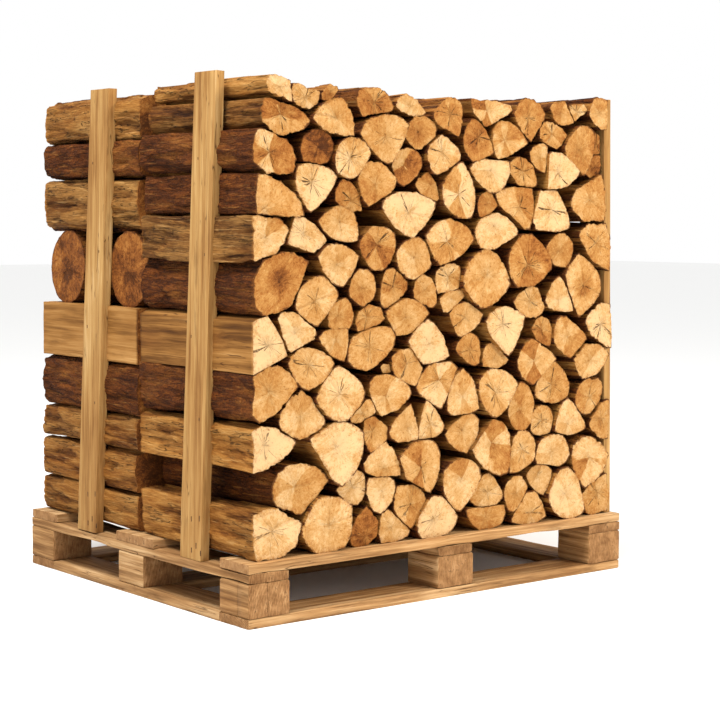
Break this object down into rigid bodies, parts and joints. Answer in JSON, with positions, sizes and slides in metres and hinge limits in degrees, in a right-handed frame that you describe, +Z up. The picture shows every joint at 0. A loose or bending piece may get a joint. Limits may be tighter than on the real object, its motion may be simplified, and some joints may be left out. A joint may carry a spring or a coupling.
{
  "type": "palletised firewood stack",
  "caption": "Split firewood stacked two logs deep on a wooden block pallet, held in at the sides by upright boards.",
  "frame": {"origin": "middle of the pallet's footprint, on the floor", "axes": "+Z up, +X along the pallet's long side, +Y along the logs, from the front face to the back face"},
  "size_m": [1.2, 1, 1.252],
  "materials": {
    "pallet_wood": "rough sawn, weathered",
    "post_wood": "planed",
    "split_wood": "split along the grain",
    "barked_log": "bark",
    "stacked_logs": "sawn end grain"
  },
  "bodies": {
    "root": {"base_board_back": "pallet_wood", "base_board_front": "pallet_wood", "base_board_left": "pallet_wood", "base_board_middle": "pallet_wood", "base_board_right": "pallet_wood", "block_back_left": "pallet_wood", "block_back_middle": "pallet_wood", "block_back_right": "pallet_wood", "block_front_left": "pallet_wood", "block_front_middle": "pallet_wood", "block_front_right": "pallet_wood", "block_middle_left": "pallet_wood", "block_middle_middle": "pallet_wood", "block_middle_right": "pallet_wood", "course_01": "stacked_logs", "course_02": "stacked_logs", "course_03": "stacked_logs", "course_04": "stacked_logs", "course_05": "stacked_logs", "course_06": "stacked_logs", "course_07": "stacked_logs", "course_08": "stacked_logs", "course_09": "stacked_logs", "course_10": "stacked_logs", "course_11": "stacked_logs", "deck_board_back": "pallet_wood", "deck_board_front": "pallet_wood", "deck_board_middle": "pallet_wood", "log_back_left_01": "barked_log", "log_back_left_02": "split_wood", "log_back_left_03": "barked_log", "log_back_left_04": "barked_log", "log_back_left_05": "split_wood", "log_back_left_06": "split_wood", "log_back_left_07": "barked_log", "log_back_left_08": "barked_log", "log_cross_back": "barked_log", "log_cross_front": "barked_log", "log_cross_middle": "barked_log", "log_front_left_01": "split_wood", "log_front_left_02": "barked_log", "log_front_left_03": "split_wood", "log_front_left_04": "barked_log", "log_front_left_05": "split_wood", "log_front_left_06": "barked_log", "log_front_left_07": "split_wood", "log_front_left_08": "barked_log", "log_front_left_09": "barked_log", "log_front_left_10": "barked_log", "log_front_left_11": "split_wood", "post_left_back": "post_wood", "post_left_front": "post_wood", "post_right_back": "post_wood", "post_right_front": "post_wood", "stringer_left": "pallet_wood", "stringer_middle": "pallet_wood", "stringer_right": "pallet_wood"}
  },
  "joints": []
}
